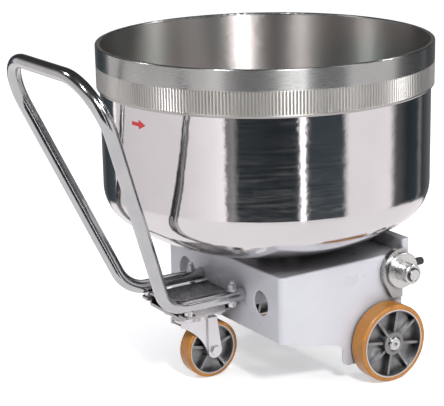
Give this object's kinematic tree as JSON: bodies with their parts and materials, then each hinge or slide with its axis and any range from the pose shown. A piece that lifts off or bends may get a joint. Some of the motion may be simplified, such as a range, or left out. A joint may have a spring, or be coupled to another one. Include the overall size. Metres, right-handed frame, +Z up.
{
  "type": "dough trough",
  "caption": "Removable stainless dough bowl with a toothed drive band, turning on a three-wheeled truck with a push handle.",
  "frame": {"origin": "middle of the footprint, on the floor", "axes": "+X from the push handle to the docking end, +Y to the left seen from the handle, +Z up"},
  "size_m": [1.0458, 0.84, 0.8638],
  "materials": {
    "bowl_steel": "polished stainless steel, fine turned lines",
    "band_steel": "ground stainless steel with a rolled rack of teeth",
    "handle_chrome": "polished stainless tube",
    "chassis_paint": "light grey powder coat, half gloss",
    "wheel_aluminium": "cast and turned",
    "wheel_tread": "cast polyurethane, brown orange",
    "zinc_steel": "bright zinc plate",
    "bright_steel": "turned and hardened",
    "plate_steel": "rolled steel plate, satin, zinc plated",
    "buffer_rubber": "black, moulded",
    "dark_steel": "oiled steel"
  },
  "bodies": {
    "chassis": {"chassis_box": "chassis_paint", "docking_beam": "chassis_paint", "bearing_housing": "chassis_paint", "spindle_bearing_lower": "dark_steel", "spindle_bearing_upper": "dark_steel", "buffer_studs": "zinc_steel", "rear_buffer_left": "buffer_rubber", "rear_buffer_right": "buffer_rubber", "main_axle": "dark_steel", "axle_bosses": "chassis_paint", "axle_end_screws": "bright_steel", "axle_end_washers": "bright_steel", "docking_plate_left": "plate_steel", "docking_plate_right": "plate_steel", "docking_pin_left": "bright_steel", "docking_pin_right": "bright_steel", "docking_circlips": "dark_steel", "handle_tube": "handle_chrome", "handle_stubs": "zinc_steel", "handle_plate": "plate_steel", "handle_spacers": "zinc_steel", "handle_bolts": "zinc_steel", "handle_nuts": "zinc_steel", "caster_plate": "zinc_steel", "caster_bolts": "zinc_steel", "caster_bolt_nuts": "zinc_steel", "kingpin": "zinc_steel"},
    "bowl": {"bowl_shell": "bowl_steel", "drive_band": "band_steel", "bowl_base_plate": "bowl_steel", "bowl_spindle": "dark_steel", "spindle_nut": "dark_steel"},
    "main_wheel_left": {"wheel_centre_left": "wheel_aluminium", "wheel_tread_left": "wheel_tread", "wheel_bearings_left": "dark_steel"},
    "main_wheel_right": {"wheel_centre_right": "wheel_aluminium", "wheel_tread_right": "wheel_tread", "wheel_bearings_right": "dark_steel"},
    "caster_swivel": {"caster_fork": "zinc_steel", "caster_axle": "zinc_steel", "caster_axle_nut": "zinc_steel", "caster_sleeves": "zinc_steel"},
    "caster_wheel": {"caster_wheel_centre": "wheel_aluminium", "caster_wheel_tread": "wheel_tread", "caster_wheel_bearings": "dark_steel"},
    "roller_left": {"docking_roller_left": "bright_steel"},
    "roller_right": {"docking_roller_right": "bright_steel"}
  },
  "joints": [
    {"name": "bowl_turn", "type": "hinge", "parent": "chassis", "child": "bowl", "pos_m": [0.10293, 0, 0.317], "axis": [0, 0, 1], "continuous": true},
    {"name": "main_wheel_left_roll", "type": "hinge", "parent": "chassis", "child": "main_wheel_left", "pos_m": [0.27192, 0.288, 0.1], "axis": [0, 1, 0], "continuous": true},
    {"name": "main_wheel_right_roll", "type": "hinge", "parent": "chassis", "child": "main_wheel_right", "pos_m": [0.27192, -0.288, 0.1], "axis": [0, 1, 0], "continuous": true},
    {"name": "caster_turn", "type": "hinge", "parent": "chassis", "child": "caster_swivel", "pos_m": [-0.12507, 0, 0.172], "axis": [0, 0, 1], "continuous": true},
    {"name": "caster_wheel_roll", "type": "hinge", "parent": "caster_swivel", "child": "caster_wheel", "pos_m": [-0.08107, 0, 0.075], "axis": [0, 1, 0], "continuous": true},
    {"name": "roller_left_turn", "type": "hinge", "parent": "chassis", "child": "roller_left", "pos_m": [0.32293, 0.3018, 0.274], "axis": [0, 1, 0], "continuous": true},
    {"name": "roller_right_turn", "type": "hinge", "parent": "chassis", "child": "roller_right", "pos_m": [0.32293, -0.3018, 0.274], "axis": [0, 1, 0], "continuous": true}
  ]
}
